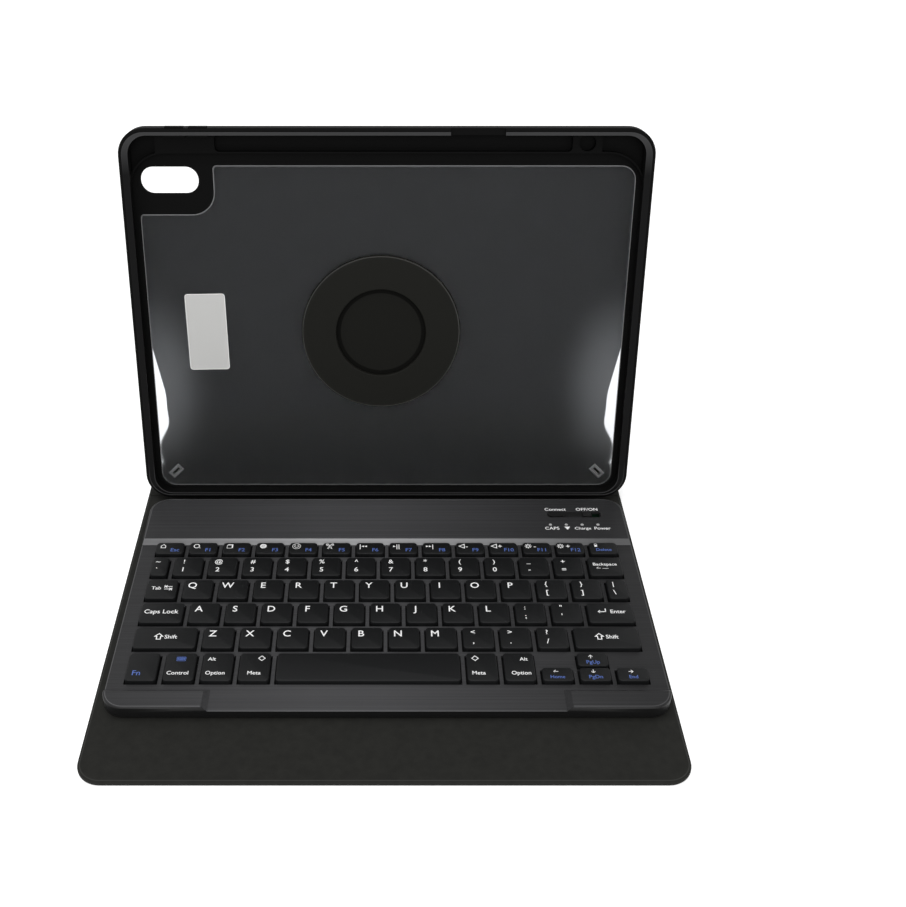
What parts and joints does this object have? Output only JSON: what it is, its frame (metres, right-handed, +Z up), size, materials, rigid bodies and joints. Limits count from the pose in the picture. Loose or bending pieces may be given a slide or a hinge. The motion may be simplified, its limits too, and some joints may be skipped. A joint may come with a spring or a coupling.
{
  "type": "tablet keyboard case",
  "caption": "Folding leatherette case that stands a tablet tray with a clear back above a low keyboard with sprung keys; the tray folds down over the keyboard.",
  "frame": {"origin": "middle of the base cover's underside, on the table", "axes": "+X right across the keyboard, +Y away from the user, +Z up"},
  "size_m": [0.2567, 0.2394, 0.1946],
  "materials": {
    "leatherette": "fine grain",
    "soft_frame": "soft matte",
    "clear_sheet": "clear",
    "ring_plastic": "satin",
    "disc_plastic": "satin",
    "bare_steel": "satin",
    "screw_steel": "satin",
    "brushed_plate": "brushed, dark",
    "case_plastic": "satin",
    "foot_rubber": "matte",
    "inner_board": "satin",
    "cell_wrap": "satin",
    "light_plastic": "clear",
    "control_plastic": "satin",
    "key_plastic": "satin",
    "white_print": "matt ink",
    "blue_print": "matt ink"
  },
  "bodies": {
    "base": {"base_cover": "leatherette", "base_magnets": "screw_steel", "keyboard_feet": "foot_rubber", "keyboard_bottom_case": "case_plastic", "keyboard_top_plate": "brushed_plate", "backing_sheet": "inner_board", "dome_sheet": "foot_rubber", "circuit_board": "inner_board", "battery_cell": "cell_wrap", "charging_socket": "screw_steel", "light_pipes": "light_plastic"},
    "spine": {"spine_board": "leatherette"},
    "prop": {"prop_board": "leatherette"},
    "tray": {"back_panel": "leatherette", "hub_post": "ring_plastic", "hub_cap": "disc_plastic", "hub_screws": "screw_steel", "swivel_ring": "ring_plastic", "swivel_retainer": "ring_plastic", "tray_frame": "soft_frame", "clear_panel": "clear_sheet", "bare_plate": "bare_steel"},
    "function_keys": {"function_keys": "key_plastic"},
    "digit_keys": {"digit_keys": "key_plastic"},
    "backspace_key": {"backspace_key": "key_plastic"},
    "tab_key": {"tab_key": "key_plastic"},
    "upper_letter_keys": {"upper_letter_keys": "key_plastic"},
    "caps_lock_key": {"caps_lock_key": "key_plastic"},
    "home_letter_keys": {"home_letter_keys": "key_plastic"},
    "enter_key": {"enter_key": "key_plastic"},
    "left_shift_key": {"left_shift_key": "key_plastic"},
    "lower_letter_keys": {"lower_letter_keys": "key_plastic"},
    "right_shift_key": {"right_shift_key": "key_plastic"},
    "fn_key": {"fn_key": "key_plastic"},
    "left_modifier_keys": {"left_modifier_keys": "key_plastic"},
    "space_bar": {"space_bar": "key_plastic"},
    "right_modifier_keys": {"right_modifier_keys": "key_plastic"},
    "left_arrow_key": {"left_arrow_key": "key_plastic"},
    "up_arrow_key": {"up_arrow_key": "key_plastic"},
    "down_arrow_key": {"down_arrow_key": "key_plastic"},
    "right_arrow_key": {"right_arrow_key": "key_plastic"},
    "power_switch": {"power_switch": "control_plastic"},
    "connect_button": {"connect_button": "control_plastic"},
    "volume_up_cover": {"volume_up_cover": "soft_frame"},
    "volume_down_cover": {"volume_down_cover": "soft_frame"}
  },
  "joints": [
    {"name": "spine_fold", "type": "hinge", "parent": "base", "child": "spine", "pos_m": [0, 0.09965, 0.0024], "axis": [1, 0, 0], "range_deg": [0, 90]},
    {"name": "prop_fold", "type": "hinge", "parent": "spine", "child": "prop", "pos_m": [0, 0.12435, 0.0024], "axis": [1, 0, 0], "range_deg": [-19.97, 0]},
    {"name": "back_fold", "type": "hinge", "parent": "prop", "child": "tray", "pos_m": [0, 0.11111, 0.04589], "axis": [1, 0, 0], "range_deg": [0, 31.27]},
    {"name": "function_keys_press", "type": "slide", "parent": "base", "child": "function_keys", "axis": [0, 0, -1], "range_m": [0, 0.0012], "stiffness_N_per_m": 400, "springref_m": -0.0006},
    {"name": "digit_keys_press", "type": "slide", "parent": "base", "child": "digit_keys", "axis": [0, 0, -1], "range_m": [0, 0.0012], "stiffness_N_per_m": 400, "springref_m": -0.0006},
    {"name": "backspace_key_press", "type": "slide", "parent": "base", "child": "backspace_key", "axis": [0, 0, -1], "range_m": [0, 0.0012], "stiffness_N_per_m": 400, "springref_m": -0.0006},
    {"name": "tab_key_press", "type": "slide", "parent": "base", "child": "tab_key", "axis": [0, 0, -1], "range_m": [0, 0.0012], "stiffness_N_per_m": 400, "springref_m": -0.0006},
    {"name": "upper_letter_keys_press", "type": "slide", "parent": "base", "child": "upper_letter_keys", "axis": [0, 0, -1], "range_m": [0, 0.0012], "stiffness_N_per_m": 400, "springref_m": -0.0006},
    {"name": "caps_lock_key_press", "type": "slide", "parent": "base", "child": "caps_lock_key", "axis": [0, 0, -1], "range_m": [0, 0.0012], "stiffness_N_per_m": 400, "springref_m": -0.0006},
    {"name": "home_letter_keys_press", "type": "slide", "parent": "base", "child": "home_letter_keys", "axis": [0, 0, -1], "range_m": [0, 0.0012], "stiffness_N_per_m": 400, "springref_m": -0.0006},
    {"name": "enter_key_press", "type": "slide", "parent": "base", "child": "enter_key", "axis": [0, 0, -1], "range_m": [0, 0.0012], "stiffness_N_per_m": 400, "springref_m": -0.0006},
    {"name": "left_shift_key_press", "type": "slide", "parent": "base", "child": "left_shift_key", "axis": [0, 0, -1], "range_m": [0, 0.0012], "stiffness_N_per_m": 400, "springref_m": -0.0006},
    {"name": "lower_letter_keys_press", "type": "slide", "parent": "base", "child": "lower_letter_keys", "axis": [0, 0, -1], "range_m": [0, 0.0012], "stiffness_N_per_m": 400, "springref_m": -0.0006},
    {"name": "right_shift_key_press", "type": "slide", "parent": "base", "child": "right_shift_key", "axis": [0, 0, -1], "range_m": [0, 0.0012], "stiffness_N_per_m": 400, "springref_m": -0.0006},
    {"name": "fn_key_press", "type": "slide", "parent": "base", "child": "fn_key", "axis": [0, 0, -1], "range_m": [0, 0.0012], "stiffness_N_per_m": 400, "springref_m": -0.0006},
    {"name": "left_modifier_keys_press", "type": "slide", "parent": "base", "child": "left_modifier_keys", "axis": [0, 0, -1], "range_m": [0, 0.0012], "stiffness_N_per_m": 400, "springref_m": -0.0006},
    {"name": "space_bar_press", "type": "slide", "parent": "base", "child": "space_bar", "axis": [0, 0, -1], "range_m": [0, 0.0012], "stiffness_N_per_m": 400, "springref_m": -0.0006},
    {"name": "right_modifier_keys_press", "type": "slide", "parent": "base", "child": "right_modifier_keys", "axis": [0, 0, -1], "range_m": [0, 0.0012], "stiffness_N_per_m": 400, "springref_m": -0.0006},
    {"name": "left_arrow_key_press", "type": "slide", "parent": "base", "child": "left_arrow_key", "axis": [0, 0, -1], "range_m": [0, 0.0012], "stiffness_N_per_m": 400, "springref_m": -0.0006},
    {"name": "up_arrow_key_press", "type": "slide", "parent": "base", "child": "up_arrow_key", "axis": [0, 0, -1], "range_m": [0, 0.0012], "stiffness_N_per_m": 400, "springref_m": -0.0006},
    {"name": "down_arrow_key_press", "type": "slide", "parent": "base", "child": "down_arrow_key", "axis": [0, 0, -1], "range_m": [0, 0.0012], "stiffness_N_per_m": 400, "springref_m": -0.0006},
    {"name": "right_arrow_key_press", "type": "slide", "parent": "base", "child": "right_arrow_key", "axis": [0, 0, -1], "range_m": [0, 0.0012], "stiffness_N_per_m": 400, "springref_m": -0.0006},
    {"name": "power_switch_slide", "type": "slide", "parent": "base", "child": "power_switch", "axis": [1, 0, 0], "range_m": [0, 0.0042]},
    {"name": "connect_press", "type": "slide", "parent": "base", "child": "connect_button", "axis": [0, 0, -1], "range_m": [0, 0.0004], "stiffness_N_per_m": 800, "springref_m": -0.0003},
    {"name": "volume_up_press", "type": "slide", "parent": "tray", "child": "volume_up_cover", "axis": [0, -0.1959, -0.9806], "range_m": [0, 0.0005], "stiffness_N_per_m": 1200, "springref_m": -0.0003},
    {"name": "volume_down_press", "type": "slide", "parent": "tray", "child": "volume_down_cover", "axis": [0, -0.1959, -0.9806], "range_m": [0, 0.0005], "stiffness_N_per_m": 1200, "springref_m": -0.0003}
  ],
  "couplings": [
    {"joint": "prop_fold", "follows": "spine_fold", "ratio": -0.22176},
    {"joint": "back_fold", "follows": "spine_fold", "ratio": 0.34731}
  ]
}
